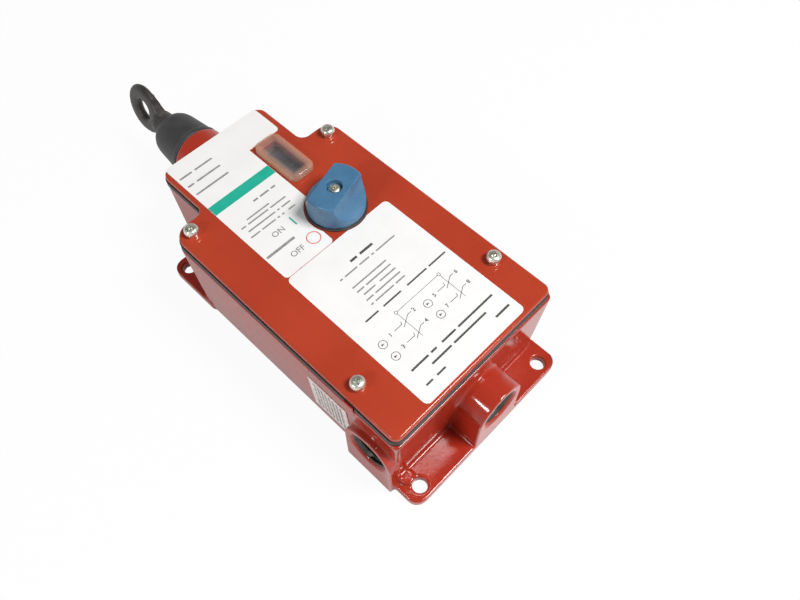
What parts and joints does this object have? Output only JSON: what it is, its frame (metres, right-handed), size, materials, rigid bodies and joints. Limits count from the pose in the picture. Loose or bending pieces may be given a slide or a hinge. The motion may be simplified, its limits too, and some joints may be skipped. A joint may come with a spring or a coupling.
{
  "type": "rope pull switch",
  "caption": "Rope pull safety switch: red die-cast box, spring-loaded pull eye in a rubber boot, rotary reset knob, position window and threaded conduit entries.",
  "frame": {"origin": "the middle of the four mounting holes, on the mounting face", "axes": "+Z out of the mounting face towards the cover, +Y along the pull rod towards the eye, +X across the box, towards the side of the window and knob"},
  "size_m": [0.1011, 0.2647, 0.0714],
  "materials": {
    "red_paint": "gloss enamel on die-cast metal",
    "cover_paint": "gloss enamel",
    "gasket_rubber": "matt moulded rubber",
    "boot_rubber": "matt moulded rubber",
    "zinc_steel": "zinc plated",
    "ground_steel": "ground",
    "spring_steel": "drawn wire, oiled",
    "black_steel": "black oxide",
    "green_steel": "green dyed zinc",
    "bronze": "sintered bronze",
    "clear_plastic": "clear, faint pink tint",
    "blue_plastic": "satin moulded",
    "black_plastic": "moulded",
    "white_plastic": "natural acetal",
    "red_plastic": "moulded",
    "white_label": "printed film",
    "silver_label": "printed film"
  },
  "bodies": {
    "box": {"housing": "red_paint", "cover": "cover_paint", "cover_gasket": "gasket_rubber", "cover_screws": "zinc_steel", "window_lens": "clear_plastic", "window_retainer": "zinc_steel", "knob_washer": "black_plastic", "knob_bushing": "bronze", "bushing_nut": "bronze", "detent_spring": "spring_steel", "front_bush": "bronze", "shaft_wiper": "gasket_rubber", "rubber_boot": "boot_rubber", "spring_washer": "zinc_steel", "main_spring": "spring_steel", "mechanism_frame": "zinc_steel", "frame_screws": "zinc_steel", "rear_bush": "bronze", "left_switch_block": "black_plastic", "right_switch_block": "black_plastic", "switch_screws": "zinc_steel", "terminal_clamps": "zinc_steel", "terminal_screws": "zinc_steel", "ground_screw": "green_steel", "slide_screws": "zinc_steel", "operating_label": "white_label", "wiring_label": "white_label", "side_label": "silver_label"},
    "rod": {"cable_eye": "black_steel", "eye_lock_nut": "zinc_steel", "pull_rod": "ground_steel", "spring_collar": "zinc_steel", "retaining_clips": "spring_steel", "cam_sleeve": "white_plastic", "cam_pin": "ground_steel", "indicator_flag": "black_plastic"},
    "knob": {"reset_knob": "blue_plastic", "knob_screw": "zinc_steel", "knob_shaft": "ground_steel", "knob_clip": "spring_steel"},
    "latch": {"latch_slide": "zinc_steel"},
    "left_contact": {"left_plunger": "red_plastic"},
    "right_contact": {"right_plunger": "red_plastic"}
  },
  "joints": [
    {"name": "rope_pull", "type": "slide", "parent": "box", "child": "rod", "axis": [0, 1, 0], "range_m": [0, 0.014], "stiffness_N_per_m": 9000, "springref_m": -0.004, "deforming": ["main_spring", "rubber_boot"]},
    {"name": "reset_turn", "type": "hinge", "parent": "box", "child": "knob", "pos_m": [0.0139, 0.0243, 0.06], "axis": [0, 0, -1], "range_deg": [0, 39.4]},
    {"name": "latch_travel", "type": "slide", "parent": "box", "child": "latch", "axis": [0, 1, 0], "range_m": [0, 0.00539]},
    {"name": "left_contact_travel", "type": "slide", "parent": "box", "child": "left_contact", "axis": [-1, 0, 0], "range_m": [0, 0.002]},
    {"name": "right_contact_travel", "type": "slide", "parent": "box", "child": "right_contact", "axis": [1, 0, 0], "range_m": [0, 0.002]}
  ],
  "couplings": [
    {"joint": "latch_travel", "follows": "reset_turn", "m_per_rad": 0.0078433},
    {"joint": "left_contact_travel", "follows": "rope_pull", "ratio": 0.14286},
    {"joint": "right_contact_travel", "follows": "rope_pull", "ratio": 0.14286}
  ]
}
